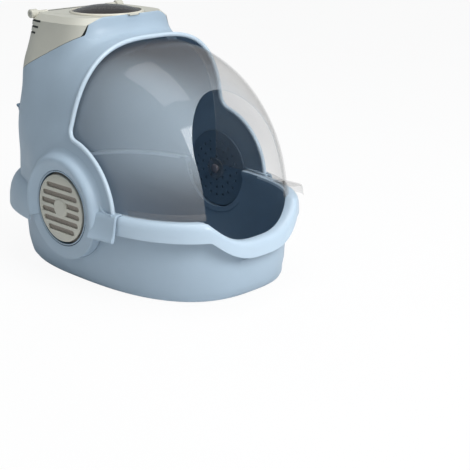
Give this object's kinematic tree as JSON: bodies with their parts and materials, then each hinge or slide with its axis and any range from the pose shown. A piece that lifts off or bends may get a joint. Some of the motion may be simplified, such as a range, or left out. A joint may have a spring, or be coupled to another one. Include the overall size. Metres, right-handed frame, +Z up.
{
  "type": "hooded cat litter box",
  "caption": "Oval litter tray with a lift-off hood, a swinging clear visor, slotted side vents that turn out, and a charcoal deodorizer under a hinged lid",
  "frame": {"origin": "on the floor under the middle of the box", "axes": "+Z up, -Y the front where the cat goes in, X across between the hubs"},
  "size_m": [0.4828, 0.679, 0.5245],
  "materials": {
    "body_plastic": "satin moulded powder-blue plastic",
    "inner_plastic": "dark slate moulded plastic",
    "trim_plastic": "satin beige plastic",
    "clear_plastic": "clear, very slightly smoky",
    "smoked_plastic": "smoked brown translucent",
    "bezel_plastic": "cream",
    "stud_plastic": "reddish translucent plastic",
    "basket_plastic": "grey plastic",
    "charcoal": "granular charcoal",
    "carbon_felt": "carbon felt",
    "pin_steel": "steel pin"
  },
  "bodies": {
    "tray": {"litter_tray": "body_plastic"},
    "hood": {"hood_shell": "body_plastic", "hub_surround_left": "body_plastic", "hub_surround_right": "body_plastic", "scoop_pocket": "body_plastic", "filter_cup_left": "inner_plastic", "filter_cup_right": "inner_plastic", "carbon_pad_left": "carbon_felt", "carbon_pad_right": "carbon_felt", "pivot_stud_left": "stud_plastic", "pivot_stud_right": "stud_plastic", "deodorizer_housing": "trim_plastic", "deck_vent": "body_plastic", "charcoal_basket": "basket_plastic", "charcoal_fill": "charcoal", "hinge_pin_left": "pin_steel", "hinge_pin_right": "pin_steel"},
    "visor": {"visor": "clear_plastic", "visor_lift_tab": "clear_plastic"},
    "lid": {"deodorizer_lid": "trim_plastic", "lens_bezel": "bezel_plastic", "smoked_lens": "smoked_plastic", "lid_finger_tab": "trim_plastic"},
    "vent_cover_left": {"vent_grille_left": "trim_plastic"},
    "vent_cover_right": {"vent_grille_right": "trim_plastic"}
  },
  "joints": [
    {"name": "hood_lift", "type": "slide", "parent": "tray", "child": "hood", "axis": [0, 0, 1], "range_m": [0, 0.12]},
    {"name": "visor_swing", "type": "hinge", "parent": "hood", "child": "visor", "pos_m": [0, -0.00053, 0.156], "axis": [-1, 0, 0], "range_deg": [0, 52]},
    {"name": "lid_hinge", "type": "hinge", "parent": "hood", "child": "lid", "pos_m": [0, 0.21147, 0.507], "axis": [-1, 0, 0], "range_deg": [0, 95]},
    {"name": "vent_turn_left", "type": "hinge", "parent": "hood", "child": "vent_cover_left", "pos_m": [-0.22, -0.00053, 0.156], "axis": [1, 0, 0], "range_deg": [0, 30]},
    {"name": "vent_turn_right", "type": "hinge", "parent": "hood", "child": "vent_cover_right", "pos_m": [0.22, -0.00053, 0.156], "axis": [-1, 0, 0], "range_deg": [0, 30]}
  ]
}
